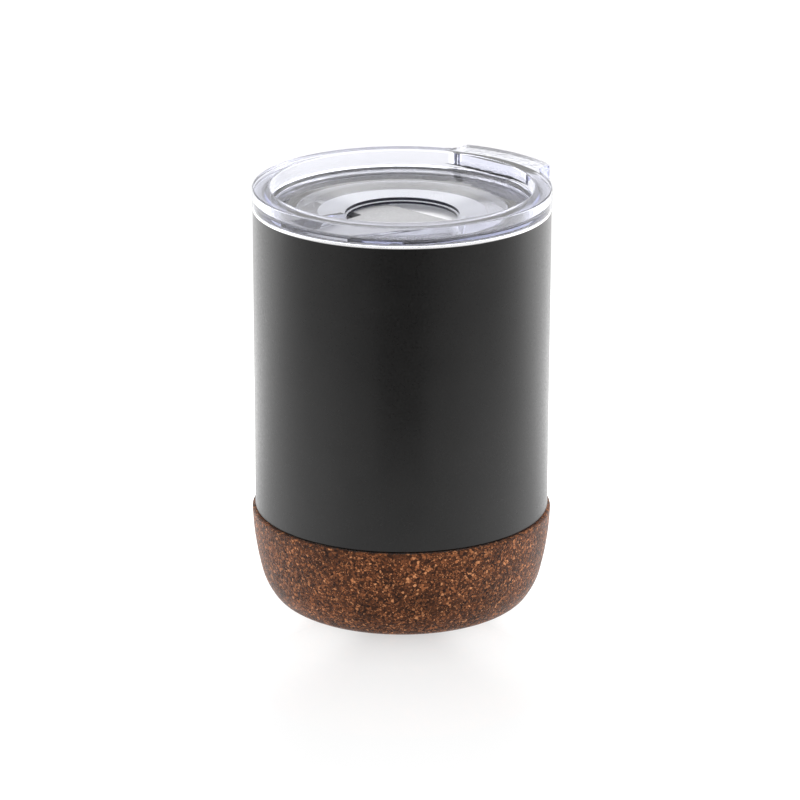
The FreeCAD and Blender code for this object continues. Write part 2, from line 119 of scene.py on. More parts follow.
def add_piece(name, mesh):
    """Turns a bmesh into an object with outward faces."""
    bmesh.ops.remove_doubles(mesh, verts=mesh.verts, dist=1e-7)
    bmesh.ops.recalc_face_normals(mesh, faces=mesh.faces)
    data = bpy.data.meshes.new(name)
    mesh.to_mesh(data)
    mesh.free()
    piece = bpy.data.objects.new(name, data)
    bpy.context.scene.collection.objects.link(piece)
    return piece


def revolved(name, outline, around=AROUND):
    """A solid made by turning a closed outline of (radius, height) about the cup's axis."""
    mesh = bmesh.new()
    rings = []
    for radius, height in outline:
        if radius < 1e-6:
            rings.append([mesh.verts.new((0, 0, height * MM))] * around)
            continue
        ring = []
        for step in range(around):
            angle = 2 * math.pi * step / around
            ring.append(mesh.verts.new((
                radius * MM * math.cos(angle), radius * MM * math.sin(angle), height * MM)))
        rings.append(ring)
    for index, ring in enumerate(rings):
        last = rings[index - 1]
        for step in range(around):
            after = (step + 1) % around
            corners = list(dict.fromkeys((last[step], last[after], ring[after], ring[step])))
            if len(corners) > 2:
                mesh.faces.new(corners)
    return add_piece(name, mesh)


def prism(name, outline, low, high):
    """A solid with an upright side over a closed plan outline."""
    mesh = bmesh.new()
    floor = [mesh.verts.new((x * MM, y * MM, low * MM)) for x, y in outline]
    roof = [mesh.verts.new((x * MM, y * MM, high * MM)) for x, y in outline]
    mesh.faces.new(floor)
    mesh.faces.new(roof)
    for index in range(len(outline)):
        mesh.faces.new((floor[index - 1], floor[index], roof[index], roof[index - 1]))
    return add_piece(name, mesh)


def apply_modifiers(piece):
    """Keeps the shape that the piece's modifiers make, and drops them."""
    scene_now = bpy.context.evaluated_depsgraph_get()
    data = bpy.data.meshes.new_from_object(piece.evaluated_get(scene_now))
    piece.modifiers.clear()
    piece.data = data


def combine(piece, tool, operation):
    """Joins the tool to the piece, or cuts it out, and removes the tool."""
    step = piece.modifiers.new(operation, "BOOLEAN")
    step.operation = operation
    step.solver = "EXACT"
    step.object = tool
    apply_modifiers(piece)
    bpy.data.objects.remove(tool)


def bevel_edges(piece, width, segments=2):
    """Softens every edge that turns more than BEVEL_ANGLE."""
    step = piece.modifiers.new("edges", "BEVEL")
    step.width = width * MM
    step.segments = segments
    step.limit_method = "ANGLE"
    step.angle_limit = math.radians(BEVEL_ANGLE)
    step.miter_outer = "MITER_ARC"
    apply_modifiers(piece)


def smooth(piece, angle=30):
    """Smooth shading with crisp edges where the surface turns more than the angle."""
    piece.data.shade_smooth()
    piece.data.set_sharp_from_angle(angle=math.radians(angle))
    step = piece.modifiers.new("even_normals", "WEIGHTED_NORMAL")
    step.keep_sharp = True


def paint(piece, *materials):
    """Gives a mesh these materials alone, in the order that its faces number them."""
    piece.data.materials.clear()
    for material in materials:
        piece.data.materials.append(material)


def place(piece, body, slot, *nodes):
    """Puts a finished piece on its body in place of its CAD nodes."""
    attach(piece, body)
    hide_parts(*nodes)


# ---------------------------------------------------------------- materials


class Nodes:
    """A node tree under construction: short ways to add and join nodes."""

    def __init__(self, tree):
        self.tree = tree

    def add(self, kind, inputs=None, **settings):
        """A new node with its settings, and its inputs by name or number."""
        node = self.tree.nodes.new(kind)
        for key, setting in settings.items():
            setattr(node, key, setting)
        for key, source in (inputs or {}).items():
            self.feed(node.inputs[key], source)
        return node

    def feed(self, socket, source):
        """A socket takes another node's output, or a plain value."""
        if isinstance(source, bpy.types.NodeSocket):
            self.tree.links.new(source, socket)
        else:
            socket.default_value = source

    def maths(self, operation, first, second=0.0):
        """One step of arithmetic."""
        return self.add("ShaderNodeMath", {0: first, 1: second}, operation=operation).outputs["Value"]

    def measure(self, operation, vector, other=(0, 0, 0)):
        """A number taken from a vector, or from two."""
        return self.add("ShaderNodeVectorMath", {0: vector, 1: other}, operation=operation).outputs["Value"]

    def ease(self, source, low, high, to_low, to_high):
        """Maps a value's range to another range, with soft ends."""
        return self.add("ShaderNodeMapRange", {
            "Value": source, "From Min": low, "From Max": high, "To Min": to_low, "To Max": to_high,
        }, interpolation_type="SMOOTHSTEP").outputs["Result"]


class Recipe(Nodes):
    """A material under construction: short ways to add its textures and set its shader."""

    def __init__(self, name):
        self.material = bpy.data.materials.new(name)
        self.material.use_nodes = True
        super().__init__(self.material.node_tree)
        self.shader = self.tree.nodes["Principled BSDF"]
        self.output = self.tree.nodes["Material Output"]
        self.place = self.add("ShaderNodeTexCoord").outputs["Object"]

    def set(self, **values):
        """Sets the Principled shader's sockets, with _ for a space."""
        for key, source in values.items():
            self.feed(self.shader.inputs[key.replace("_", " ")], source)

    def grain(self, size, detail=3.0, stretch=(1, 1, 1)):
        """Noise whose features are about this many millimetres across."""
        scaled = self.add("ShaderNodeMapping", {"Vector": self.place, "Scale": stretch})
        return self.add("ShaderNodeTexNoise", {
            "Vector": scaled.outputs["Vector"], "Scale": 1 / (size * MM), "Detail": detail}).outputs["Fac"]

    def cells(self, size, place, feature="F1"):
        """Voronoi cells about this many millimetres across."""
        return self.add("ShaderNodeTexVoronoi", {"Vector": place, "Scale": 1 / (size * MM)}, feature=feature)

    def ramp(self, source, *stops):
        """A colour ramp from (position, colour) stops."""
        node = self.add("ShaderNodeValToRGB", {"Fac": source})
        elements = node.color_ramp.elements
        while len(elements) < len(stops):
            elements.new(0.5)
        for element, (position, colour) in zip(elements, stops):
            element.position = position
            element.color = (*colour, 1)
        return node.outputs["Color"]

    def span(self, source, low, high, to_low=0.0, to_high=1.0):
        """Maps a value's range to another range."""
        return self.add("ShaderNodeMapRange", {
            "Value": source, "From Min": low, "From Max": high,
            "To Min": to_low, "To Max": to_high}).outputs["Result"]

    def mix(self, factor, first, second, kind="MIX"):
        """Mixes two colours."""
        node = self.add("ShaderNodeMix", data_type="RGBA", blend_type=kind)
        colours = [socket for socket in node.inputs if socket.type == "RGBA"]
        self.feed(node.inputs["Factor"], factor)
        self.feed(colours[0], first)
        self.feed(colours[1], second)
        return next(socket for socket in node.outputs if socket.type == "RGBA")

    def bump(self, height, depth, under=None):
        """A bump this many millimetres deep, on top of another one if given."""
        node = self.add("ShaderNodeBump", {"Height": height, "Distance": depth * MM})
        node.inputs["Strength"].default_value = 1.0
        if under is not None:
            self.feed(node.inputs["Normal"], under)
        return node.outputs["Normal"]


def black_coat():
    """Satin powder coat: fine orange-peel texture and faint mottling."""
    recipe = Recipe("black_coat")
    mottle = recipe.grain(9.0, detail=4)
    colour = recipe.ramp(mottle, (0.3, (0.004, 0.0037, 0.0036)), (0.75, (0.0065, 0.0061, 0.0059)))
    recipe.set(Base_Color=colour, IOR=1.44)
    recipe.set(Roughness=recipe.span(recipe.grain(0.6, detail=2), 0.3, 0.7, 0.27, 0.36))
    peel = recipe.bump(recipe.grain(0.45, detail=2), 0.006)
    recipe.set(Normal=recipe.bump(recipe.grain(0.12, detail=1), 0.0012, under=peel))
    return recipe.material


def steel(name, turned=True, tone=0.55):
    """Bare stainless steel with fine marks that run round the part."""
    recipe = Recipe(name)
    marks = recipe.grain(2.0, detail=5, stretch=(0.02, 0.02, 9.0) if turned else (1, 1, 1))
    recipe.set(Base_Color=recipe.ramp(
        marks,
        (0.3, (tone * 0.88, tone * 0.88, tone * 0.89)),
        (0.7, (tone * 1.1, tone * 1.1, tone * 1.11))))
    recipe.set(Metallic=1.0)
    recipe.set(Roughness=recipe.span(marks, 0.3, 0.7, 0.1, 0.2))
    recipe.set(Normal=recipe.bump(marks, 0.004))
    return recipe.material


GRANULE = 0.62
SMALL_GRANULE = 0.3


def cork():
    """Dark moulded cork: tan to red-brown granules of two sizes in a charcoal-brown matrix."""
    recipe = Recipe("cork")
    warp = recipe.add("ShaderNodeTexNoise", {
        "Vector": recipe.place, "Scale": 1 / (1.6 * MM), "Detail": 3.0})
    offset = recipe.add("ShaderNodeVectorMath", operation="SCALE")
    recipe.feed(offset.inputs[0], warp.outputs["Color"])
    offset.inputs["Scale"].default_value = 0.9 * MM
    warped = recipe.add("ShaderNodeVectorMath", operation="ADD")
    recipe.feed(warped.inputs[0], recipe.place)
    recipe.feed(warped.inputs[1], offset.outputs[0])
    spot = warped.outputs[0]

    coarse = recipe.cells(GRANULE, spot)
    fine = recipe.cells(SMALL_GRANULE, spot)
    coarse_value = recipe.add("ShaderNodeSeparateColor", {"Color": coarse.outputs["Color"]})
    fine_value = recipe.add("ShaderNodeSeparateColor", {"Color": fine.outputs["Color"]})
    stops = (
        (0.0, (0.030, 0.010, 0.005)),
        (0.30, (0.068, 0.023, 0.009)),
        (0.55, (0.125, 0.040, 0.015)),
        (0.75, (0.225, 0.075, 0.028)),
        (0.90, (0.410, 0.145, 0.054)),
        (1.0, (0.720, 0.310, 0.135)),
    )
    coarse_colour = recipe.ramp(coarse_value.outputs["Red"], *stops)
    fine_colour = recipe.ramp(fine_value.outputs["Green"], *stops)
    choice = recipe.span(coarse_value.outputs["Blue"], 0.45, 0.55)
    colour = recipe.mix(choice, coarse_colour, fine_colour)

    gap = recipe.cells(GRANULE, spot, "DISTANCE_TO_EDGE").outputs["Distance"]
    seam = recipe.span(gap, 0.0, 0.09)
    colour = recipe.mix(recipe.span(seam, 0.0, 1.0, 0.7, 0.0), colour, (0.035, 0.016, 0.010, 1))
    patches = recipe.span(recipe.grain(9.0, detail=2), 0.35, 0.65, 0.66, 1.08)
    shade = recipe.add("ShaderNodeCombineXYZ", {"X": patches, "Y": patches, "Z": patches}).outputs[0]
    colour = recipe.mix(1.0, colour, shade, "MULTIPLY")
    recipe.set(Base_Color=colour)
    recipe.set(Roughness=recipe.span(recipe.grain(0.7), 0.3, 0.7, 0.4, 0.55), IOR=1.22)
    recipe.set(Sheen_Weight=0.19, Sheen_Roughness=0.26)
    dents = recipe.bump(seam, 0.05)
    recipe.set(Normal=recipe.bump(recipe.grain(0.25, detail=4), 0.03, under=dents))
    return recipe.material


# the lift tab's flow marks, in metres: their centre, and how far they stay whole and where they end
TAB_MARKS = (0, 0.038, 0.1045)
TAB_MARKS_WHOLE = 0.010
TAB_MARKS_END = 0.017


def clear_plastic():
    """Clear polished moulding: blue-violet in its thick sections, with faint flow marks in its tab."""
    recipe = Recipe("clear_plastic")
    flow = recipe.grain(14.0, detail=2)
    recipe.set(Base_Color=recipe.ramp(flow, (0.3, (0.985, 0.985, 1.0)), (0.7, (1.0, 1.0, 1.0))))
    recipe.set(Transmission_Weight=0.95, IOR=1.5)
    recipe.set(Roughness=recipe.span(recipe.grain(3.0), 0.3, 0.7, 0.0, 0.03))
    from_tab = recipe.measure("DISTANCE", recipe.place, TAB_MARKS)
    near_tab = recipe.span(from_tab, TAB_MARKS_WHOLE, TAB_MARKS_END, 1.0, 0.0)
    marks = recipe.maths("MULTIPLY", recipe.grain(1.6, detail=2, stretch=(1, 1, 2.5)), near_tab)
    waves = recipe.bump(recipe.grain(7.0, detail=1), 0.006)
    recipe.set(Normal=recipe.bump(marks, 0.10, under=waves))
    tint = recipe.add("ShaderNodeVolumeAbsorption")
    tint.inputs["Color"].default_value = (0.62, 0.66, 1.0, 1)
    tint.inputs["Density"].default_value = 34.0
    recipe.feed(recipe.output.inputs["Volume"], tint.outputs[0])
    return recipe.material


# how far back the underplate stays polished, and where its etched skin is whole, in metres
POLISHED_TO = -0.0045
ETCHED_FROM = -0.0040


def etched_plastic(name, low, high, through, clear_front=False):
    """The same moulding with a fine etched skin, whose front part can stay polished."""
    recipe = Recipe(name)
    etch = recipe.grain(0.3, detail=4)
    recipe.set(Base_Color=recipe.ramp(etch, (0.3, low), (0.7, high)))
    recipe.set(Roughness=0.5, IOR=1.5, Transmission_Weight=through)
    if clear_front:
        along = recipe.add("ShaderNodeSeparateXYZ", {"Vector": recipe.place}).outputs["Y"]
        recipe.set(Transmission_Weight=recipe.span(along, POLISHED_TO, ETCHED_FROM, 0.95, through))
        recipe.set(Roughness=recipe.span(along, POLISHED_TO, ETCHED_FROM, 0.02, 0.5))
    recipe.set(Normal=recipe.bump(etch, 0.01))
    return recipe.material


def painted_shade(name, low, high, through):
    """Painted shade: a dark skin on the clear moulding where it looks dark because the moulding carries the
    light away.
    """
    recipe = Recipe(name)
    streaks = recipe.grain(1.2, detail=3, stretch=(1, 1, 6))
    recipe.set(Base_Color=recipe.ramp(streaks, (0.35, low), (0.7, high)))
    recipe.set(Roughness=0.12, IOR=1.4, Transmission_Weight=through)
    recipe.set(Normal=recipe.bump(streaks, 0.01))
    return recipe.material


def grey_plastic():
    """Light grey plastic with a fine spark-eroded texture."""
    recipe = Recipe("grey_plastic")
    speckle = recipe.grain(0.35, detail=3)
    recipe.set(Base_Color=recipe.ramp(
        speckle, (0.3, (0.25, 0.25, 0.26)), (0.7, (0.35, 0.35, 0.36))))
    recipe.set(Roughness=recipe.span(recipe.grain(2.5), 0.3, 0.7, 0.42, 0.55))
    recipe.set(Normal=recipe.bump(speckle, 0.012))
    return recipe.material


def silicone(name, low, high, transmission):
    """Silicone rubber with a slight bloom."""
    recipe = Recipe(name)
    bloom = recipe.grain(4.0, detail=4)
    recipe.set(Base_Color=recipe.ramp(bloom, (0.3, low), (0.7, high)))
    recipe.set(Roughness=recipe.span(bloom, 0.3, 0.7, 0.25, 0.4))
    recipe.set(Transmission_Weight=transmission, IOR=1.41)
    recipe.set(Normal=recipe.bump(recipe.grain(0.6), 0.006))
    return recipe.material


def dull(name, low, high, size, roughness):
    """A plain matt surface with a mottled colour, for the hidden small pieces."""
    recipe = Recipe(name)
    mottle = recipe.grain(size, detail=4)
    recipe.set(Base_Color=recipe.ramp(mottle, (0.3, low), (0.7, high)), Roughness=roughness)
    recipe.set(Normal=recipe.bump(mottle, 0.03))
    return recipe.material


def glass_bead():
    """Greenish sealing glass."""
    recipe = Recipe("seal_glass")
    swirl = recipe.grain(1.5, detail=3)
    recipe.set(Base_Color=recipe.ramp(swirl, (0.3, (0.10, 0.14, 0.12)), (0.7, (0.2, 0.26, 0.23))))
    recipe.set(Roughness=0.12, Transmission_Weight=0.5, IOR=1.6)
    return recipe.material


COAT = black_coat()
LIP_STEEL = steel("lip_steel", tone=0.86)
LINER_STEEL = steel("liner_steel", tone=0.6)
PRESSED_STEEL = steel("pressed_steel", turned=False)
CORK = cork()
CLEAR = clear_plastic()
ETCHED_PLATE = etched_plastic(
    "etched_plate", (0.82, 0.82, 0.84), (0.90, 0.90, 0.92), 0.0, clear_front=True)
ETCHED_CEILING = etched_plastic("etched_ceiling", (0.74, 0.75, 0.77), (0.82, 0.83, 0.85), 0.15)
# painted shade for the central well's upright walls
WELL_PAINTED_SHADE = painted_shade("painted_shade", (0.006, 0.006, 0.010), (0.035, 0.036, 0.052), 0.0)
# painted shade for the underside of the floor's outer ring
RING_PAINTED_SHADE = painted_shade("ring_shade", (0.012, 0.010, 0.009), (0.06, 0.052, 0.047), 0.45)
GREY = grey_plastic()
RING_SILICONE = silicone("ring_silicone", (0.012, 0.010, 0.009), (0.022, 0.018, 0.016), 0.0)
PAD_SILICONE = silicone("pad_silicone", (0.72, 0.70, 0.68), (0.82, 0.81, 0.80), 0.9)
ADHESIVE = dull("cured_adhesive", (0.40, 0.38, 0.32), (0.52, 0.50, 0.44), 3.0, 0.45)
GETTER = dull("getter_powder", (0.09, 0.09, 0.095), (0.16, 0.16, 0.165), 0.3, 0.8)
SEAL_GLASS = glass_bead()

# ---------------------------------------------------------------- steel cup

WALL = 0.5
LIP_ROUND = 0.6
BARE_LIP = 0.65
GLUE = 0.15
FOOT_RADIUS = reach("base_adhesive")[0] - GLUE
FOOT_STEP = CORK_TOP + GLUE
FOOT_ROUND = 9.0
FOOT_RING = 9.4
MOUTH_RADIUS = 33.9
MOUTH_DEPTH = 9.5
TAPER_HEIGHT = 4.0
TAPER_ROUND = 3.0
LINER_RADIUS = 32.6
LINER_ROUND = 9.0


def make_shell():
    """Outer wall: black coat up to a bare polished lip, stepped in above the cork."""
    outline = soften([
        (LINER_FLARE, LIP_TOP),
        (LINER_FLARE, LIP_TOP - LIP_ROUND),
        (SHELL_RADIUS - WALL, LIP_TOP - LIP_ROUND),
        (SHELL_RADIUS - WALL, FOOT_STEP + WALL),
        (FOOT_RADIUS - WALL, FOOT_STEP + WALL),
        (FOOT_RADIUS - WALL, SHELL_LOW + WALL, FOOT_ROUND - WALL),
        (FOOT_RADIUS - FOOT_RING, SHELL_LOW + WALL),
        (FOOT_RADIUS - FOOT_RING, SHELL_LOW),
        (FOOT_RADIUS, SHELL_LOW, FOOT_ROUND),
        (FOOT_RADIUS, FOOT_STEP, 0.3),
        (SHELL_RADIUS, FOOT_STEP, 0.55),
        (SHELL_RADIUS, LIP_TOP - BARE_LIP),
        (SHELL_RADIUS, LIP_TOP, LIP_ROUND - 0.01),
    ], steps=10)
    shell = revolved("shell_wall", outline)
    paint(shell, COAT, LIP_STEEL)
    for face in shell.data.polygons:
        outside = math.hypot(face.center.x, face.center.y) > (SHELL_RADIUS - WALL / 2) * MM
        coated = outside and face.center.z < (LIP_TOP - BARE_LIP) * MM
        face.material_index = 0 if coated else 1
    smooth(shell)
    place(shell, "cup", "coated_steel", "outer_shell")


def make_liner():
    """Inner cup of plain steel, with a rolled mouth and a round-cornered floor."""
    mouth, inner = MOUTH_RADIUS, LINER_RADIUS
    mouth_end = LIP_TOP - MOUTH_DEPTH
    taper_end = mouth_end - TAPER_HEIGHT
    floor = LINER_LOW + WALL
    outline = soften([
        (LINER_FLARE, LIP_TOP),
        (mouth, LIP_TOP, 0.58),
        (mouth, mouth_end, TAPER_ROUND),
        (inner, taper_end, TAPER_ROUND),
        (inner, floor, LINER_ROUND),
        (0, floor),
        (0, LINER_LOW),
        (inner + WALL, LINER_LOW, LINER_ROUND + WALL),
        (inner + WALL, taper_end, TAPER_ROUND),
        (mouth + WALL, mouth_end, TAPER_ROUND),
        (mouth + WALL, LIP_TOP - 3 * LIP_ROUND),
        (LINER_FLARE, LIP_TOP - LIP_ROUND),
    ], steps=10)
    liner = revolved("liner_wall", outline)
    paint(liner, LINER_STEEL)
    smooth(liner)
    place(liner, "cup", "steel", "inner_liner")


# ---------------------------------------------------------------- cork base

CORK_AROUND = 560
CORK_STEP = 0.42
CORK_FOOT = 28.4
CORK_EDGE = 0.45
PIT_CELL = 1.05
PIT_WIDTH = 0.22
PIT_DEPTH = 0.09


def cork_outline():
    """Evenly spaced points up the cork's outside, then its plain inside."""
    waist = (35.0, 8.0)
    low = (32.1, 2.0)
    top = (CORK_RADIUS, CORK_TOP - CORK_EDGE)
    outside = [(CORK_FOOT, CORK_LOW)]
    for start, end, radius in ((outside[0], low, 5.4), (low, waist, 16.6), (waist, top, 74.0)):
        outside += bulge(start, end, radius)
    outside += sweep((CORK_RADIUS - CORK_EDGE, CORK_TOP - CORK_EDGE), CORK_EDGE, 15, 90, 5)
    inner, floor = FOOT_RADIUS + GLUE, SHELL_LOW - GLUE
    inside = soften([(inner, CORK_TOP), (inner, floor, FOOT_ROUND + GLUE), (0, floor)], steps=10)
    return outside, inside


def bulge(start, end, radius):
    """Points about CORK_STEP apart on an arc that bows outward, without its first point."""
    chord = Vector(end) - Vector(start)
    side = Vector((-chord.y, chord.x)).normalized()
    rise = math.sqrt(radius ** 2 - chord.length_squared / 4)
    centre = (Vector(start) + Vector(end)) / 2 + side * rise
    first = math.degrees(math.atan2(start[1] - centre.y, start[0] - centre.x))
    last = math.degrees(math.atan2(end[1] - centre.y, end[0] - centre.x))
    steps = max(2, round(chord.length / CORK_STEP))
    return sweep(centre, radius, first, last, steps)[1:]


def make_cork():
    """Moulded cork boot with pits and low granules worked into its outer surface."""
    outside, inside = cork_outline()
    cork_piece = revolved("cork_boot", [(0, CORK_LOW)] + outside + inside, CORK_AROUND)
    for vertex in cork_piece.data.vertices:
        point = vertex.co / MM
        radius = math.hypot(point.x, point.y)
        if point.z < 0.05 or radius < FOOT_RADIUS - 6 or (
                radius < FOOT_RADIUS + 0.4 and point.z > SHELL_LOW - 1):
            continue
        nearest = noise.voronoi(point / PIT_CELL)[0]
        seam = nearest[1] - nearest[0]
        pit = max(0.0, PIT_WIDTH - seam) / PIT_WIDTH
        swell = noise.noise(point / 2.6) * 0.5 + noise.noise(point / 0.8) * 0.25
        depth = PIT_DEPTH * pit * (0.4 + 0.6 * noise.noise(point / 5.0 + Vector((9, 4, 2)))) + 0.01
        inward = Vector((-point.x, -point.y, 0)).normalized()
        vertex.co += inward * max(0.0, depth - 0.04 * swell) * MM
    paint(cork_piece, CORK)
    cork_piece.data.shade_smooth()
    place(cork_piece, "cup", "cork", "cork_base")


# ---------------------------------------------------------------- lid

RECESS_RADIUS = 32.3
WELL_RADIUS = 14.0
LEDGE = 0.45
FLOOR_EDGE = 101.7
BOWL_RADIUS = 27.8
BOWL_TOP = 101.5
WELL_TOP = 99.3
LEDGE_TOP = 98.4
CEILING = 97.65
CEILING_RADIUS = 21.0
NECK_RADIUS = 33.4
SKIRT_RADIUS = 33.0
GROOVE_RADIUS = 31.7
RIM_LOW = LIP_TOP + 0.05
SHOULDER = 99.0
# heights of the painted shade under the floor's outer ring
SHADED_RING_LOW = 98.0
SHADED_RING_HIGH = 99.2
CUT_TOP = 103.0
TAB_LOW = 102.6
TAB_ANGLE = 20.3
TAB_ROOT = 34.5
TAB_ROUND = 1.2
TAB_BLEND = 3.6
RIM_FALL = 0.1
CHANNEL_HALF = 9.4
CHANNEL_END = 29.2
CHANNEL_FLOOR = 0.25
POCKET_RADIUS = 26.3
POCKET_ROOT = 98.4
POCKET_WALL = 1.4
GUIDE_HALF = 10.45
GUIDE_FRONT = -27.0
GUIDE_BACK = -9.6
GUIDE_TOP = 98.9
ETCHED_RADIUS = 26.5
SLOT_HALF = 7.0
SLOT_REACH = 27.8
SLOT_BACK = -20.5
AIR_SPOT = (0, 3.0)
AIR_RADIUS = 1.25
AIR_STEPS = 48


def tab_outline():
    """Plan of the lift tab: an arc round the axis, soft outer corners and hollow roots."""
    half = math.radians(TAB_ANGLE)
    end_turn = TAB_ROUND / (TAB_REACH - TAB_ROUND)
    toward_end = Vector((math.sin(half - end_turn), math.cos(half - end_turn)))
    end_centre = (TAB_REACH - TAB_ROUND) * toward_end
    root_turn = math.asin(TAB_BLEND / (RIM_RADIUS + TAB_BLEND))
    toward_root = Vector((math.sin(half + root_turn), math.cos(half + root_turn)))
    root_centre = (RIM_RADIUS + TAB_BLEND) * toward_root
    first = math.degrees(math.pi / 2 - half)
    side = sweep(root_centre, TAB_BLEND, first - 180 - math.degrees(root_turn), first - 270, 10)
    side = [(TAB_ROOT * math.sin(half + root_turn), TAB_ROOT * math.cos(half + root_turn))] + side
    side += sweep(end_centre, TAB_ROUND, first - 90, first + math.degrees(end_turn), 8)
    middle = sweep((0, 0), TAB_REACH, first + math.degrees(end_turn), 90, 16)[1:]
    right = side + middle
    return right + [(-x, y) for x, y in reversed(right[:-1])]


def keyhole_front(half, radius, back):
    """Plan with straight sides, a front that is an arc round the axis, and a straight back."""
    angle = math.degrees(math.asin(half / radius))
    front = sweep((0, 0), radius, 270 - angle, 270 + angle, 16)
    return front + [(half, back), (-half, back)]


def make_lid():
    """Clear moulding: rim, dished floor with a keyhole opening, plug skirt and lift tab, with painted shade
    on the central well's walls and under the floor's outer ring.
    """
    lid = revolved("lid_moulding", soften([
        (NECK_RADIUS, RIM_LOW),
        (RIM_RADIUS, RIM_LOW, 0.35),
        (RIM_RADIUS, RIM_TOP - RIM_FALL, 0.4),
        (RECESS_RADIUS, RIM_TOP + 0.02, 0.35),
        (RECESS_RADIUS, FLOOR_EDGE, 1.3),
        (BOWL_RADIUS, BOWL_TOP, 0.6),
        (WELL_RADIUS, WELL_TOP, 0.15),
        (WELL_RADIUS, LEDGE_TOP, 0.1),
        (WELL_RADIUS - LEDGE, LEDGE_TOP, 0.1),
        (WELL_RADIUS - LEDGE, CEILING, 0.1),
        (CEILING_RADIUS, CEILING),
        (POCKET_RADIUS, POCKET_ROOT, 0.3),
        (POCKET_RADIUS, PLATE_TOP, 0.1),
        (POCKET_RADIUS + POCKET_WALL, PLATE_TOP, 0.1),
        (POCKET_RADIUS + POCKET_WALL, POCKET_ROOT, 0.3),
        (PLATE_RADIUS, SHOULDER, 0.6),
        (PLATE_RADIUS, SKIRT_LOW, 0.3),
        (SKIRT_RADIUS, SKIRT_LOW, 0.5),
        (SKIRT_RADIUS, GASKET_LOW - 0.05, 0.1),
        (GROOVE_RADIUS, GASKET_LOW - 0.05),
        (GROOVE_RADIUS, GASKET_TOP + 0.05),
        (NECK_RADIUS, GASKET_TOP + 0.05, 0.1),
    ]))
    combine(lid, prism("tab", tab_outline(), TAB_LOW, RIM_TOP - RIM_FALL), "UNION")
    channel = keyhole_front(CHANNEL_HALF, CHANNEL_END, 0)
    combine(lid, prism("channel", channel, PLATE_TOP + CHANNEL_FLOOR, CUT_TOP), "DIFFERENCE")
    gate = POCKET_RADIUS + 2 * POCKET_WALL
    combine(lid, prism("gate", [
        (-GUIDE_HALF, -gate), (GUIDE_HALF, -gate), (GUIDE_HALF, GUIDE_BACK), (-GUIDE_HALF, GUIDE_BACK),
    ], PLATE_TOP - 0.5, CEILING), "DIFFERENCE")
    for side in (-1, 1):
        inner, outer = side * GUIDE_HALF, side * (GUIDE_HALF + POCKET_WALL)
        combine(lid, prism("rail", [
            (inner, GUIDE_FRONT), (outer, GUIDE_FRONT), (outer, GUIDE_BACK), (inner, GUIDE_BACK),
        ], PLATE_TOP, GUIDE_TOP), "UNION")
    bevel_edges(lid, 0.15)
    paint(lid, CLEAR, ETCHED_CEILING, WELL_PAINTED_SHADE, RING_PAINTED_SHADE)
    for face in lid.data.polygons:
        middle = face.center / MM
        out = math.hypot(middle.x, middle.y)
        etched = abs(middle.z - CEILING) < 0.02 and out < CEILING_RADIUS
        # the central well's upright walls get painted shade
        edge = WELL_RADIUS - LEDGE - 0.2 < out < WELL_RADIUS + 0.1 and abs(face.normal.z) < 0.3
        # painted shade under the floor's outer ring, between the pocket wall and the skirt
        ring = (POCKET_RADIUS + POCKET_WALL < out < PLATE_RADIUS + 0.05
                and SHADED_RING_LOW < middle.z < SHADED_RING_HIGH)
        face.material_index = 1 if etched else 2 if edge else 3 if ring else 0
    smooth(lid, 35)
    place(lid, "lid", "clear_plastic", "lid_body")


def make_underplate():
    """Clear disc under the floor, etched on top, with the drinking slot and the air hole."""
    plate = revolved("lid_inner_plate", soften([
        (0, PLATE_LOW), (ETCHED_RADIUS, PLATE_LOW), (PLATE_RADIUS, PLATE_LOW, 0.2),
        (PLATE_RADIUS, PLATE_TOP, 0.1), (ETCHED_RADIUS, PLATE_TOP), (0, PLATE_TOP)]))
    slot = keyhole_front(SLOT_HALF, SLOT_REACH, SLOT_BACK)
    combine(plate, prism("slot", slot, PLATE_LOW - 1, PLATE_TOP + 1), "DIFFERENCE")
    air = sweep(AIR_SPOT, AIR_RADIUS, 0, 360 - 360 / AIR_STEPS, AIR_STEPS - 1)
    combine(plate, prism("air", air, PLATE_LOW - 1, PLATE_TOP + 1), "DIFFERENCE")
    bevel_edges(plate, 0.12)
    paint(plate, CLEAR, ETCHED_PLATE)
    for face in plate.data.polygons:
        middle = face.center / MM
        etched = math.hypot(middle.x, middle.y) < ETCHED_RADIUS and middle.z > PLATE_TOP - 0.05
        face.material_index = 1 if etched else 0
    smooth(plate, 35)
    place(plate, "lid", "clear_plastic", "lid_underplate")


GASKET_BODY = 32.75
FIN_HEIGHTS = (95.6, 97.6)
FIN_ROOT_HALF = 0.45
FIN_TIP_HALF = 0.16


def make_gasket():
    """Silicone ring with two soft fins."""
    inner = GROOVE_RADIUS + 0.05
    body = GASKET_BODY
    outline = [
        (body, GASKET_TOP, 0.2), (inner, GASKET_TOP, 0.2), (inner, GASKET_LOW, 0.2),
        (body, GASKET_LOW, 0.2)]
    for middle in FIN_HEIGHTS:
        outline += [
            (body, middle - FIN_ROOT_HALF), (FIN_RADIUS, middle - FIN_TIP_HALF, 0.15),
            (FIN_RADIUS, middle + FIN_TIP_HALF, 0.15), (body, middle + FIN_ROOT_HALF)]
    gasket = revolved("lid_seal_ring", soften(outline))
    paint(gasket, RING_SILICONE)
    smooth(gasket)
    place(gasket, "lid", "silicone", "lid_gasket")


# ---------------------------------------------------------------- slide closure


